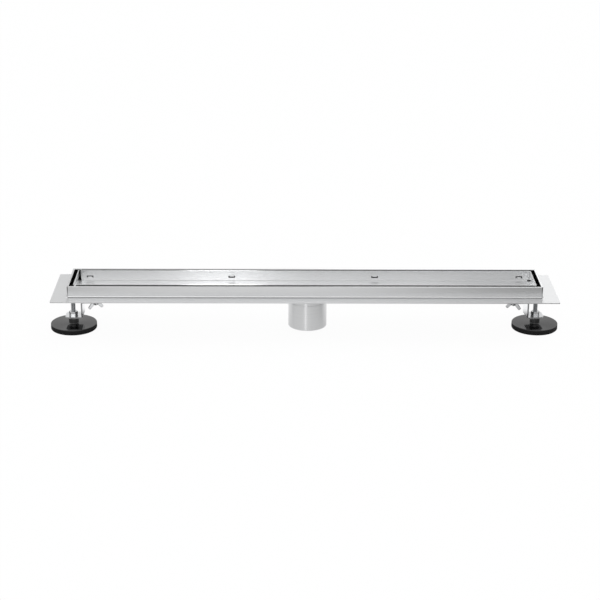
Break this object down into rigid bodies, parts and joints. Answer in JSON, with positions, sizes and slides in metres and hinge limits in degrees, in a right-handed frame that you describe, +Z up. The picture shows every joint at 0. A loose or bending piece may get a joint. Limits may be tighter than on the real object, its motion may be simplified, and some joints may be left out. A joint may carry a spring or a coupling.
{
  "type": "linear shower drain",
  "caption": "Long folded steel shower channel with a wide flange, a raised hemmed rim, a tile-in tray inside, a round outlet below and levelling feet on bent brackets.",
  "frame": {"origin": "on the floor, under the middle of the channel", "axes": "+X along the channel to the right as seen from the front, +Y to the back, +Z up"},
  "size_m": [0.6649, 0.106, 0.0696],
  "materials": {
    "satin_steel": "stainless sheet, satin brushed along its length",
    "pipe_steel": "stainless tube, brushed round",
    "zinc_plate": "bright zinc plated steel",
    "zinc_thread": "zinc plated threaded steel",
    "black_plastic": "glossy black moulded plastic"
  },
  "bodies": {
    "drain": {"channel_body": "satin_steel", "outlet_spigot": "pipe_steel", "hair_strainer": "satin_steel", "tile_tray": "satin_steel", "left_outer_tray_support": "satin_steel", "left_inner_tray_support": "satin_steel", "right_inner_tray_support": "satin_steel", "right_outer_tray_support": "satin_steel", "left_foot_bracket": "zinc_plate", "left_weld_stud": "zinc_thread", "left_stud_washer": "zinc_plate", "left_wing_nut": "zinc_plate", "left_lock_nut": "zinc_plate", "right_foot_bracket": "zinc_plate", "right_weld_stud": "zinc_thread", "right_stud_washer": "zinc_plate", "right_wing_nut": "zinc_plate", "right_lock_nut": "zinc_plate"},
    "left_foot": {"left_threaded_rod": "zinc_thread", "left_foot_pad": "black_plastic"},
    "right_foot": {"right_threaded_rod": "zinc_thread", "right_foot_pad": "black_plastic"}
  },
  "joints": [
    {"name": "left_foot_height", "type": "slide", "parent": "drain", "child": "left_foot", "axis": [0, 0, -1], "range_m": [0, 0.014]},
    {"name": "right_foot_height", "type": "slide", "parent": "drain", "child": "right_foot", "axis": [0, 0, -1], "range_m": [0, 0.014]}
  ]
}
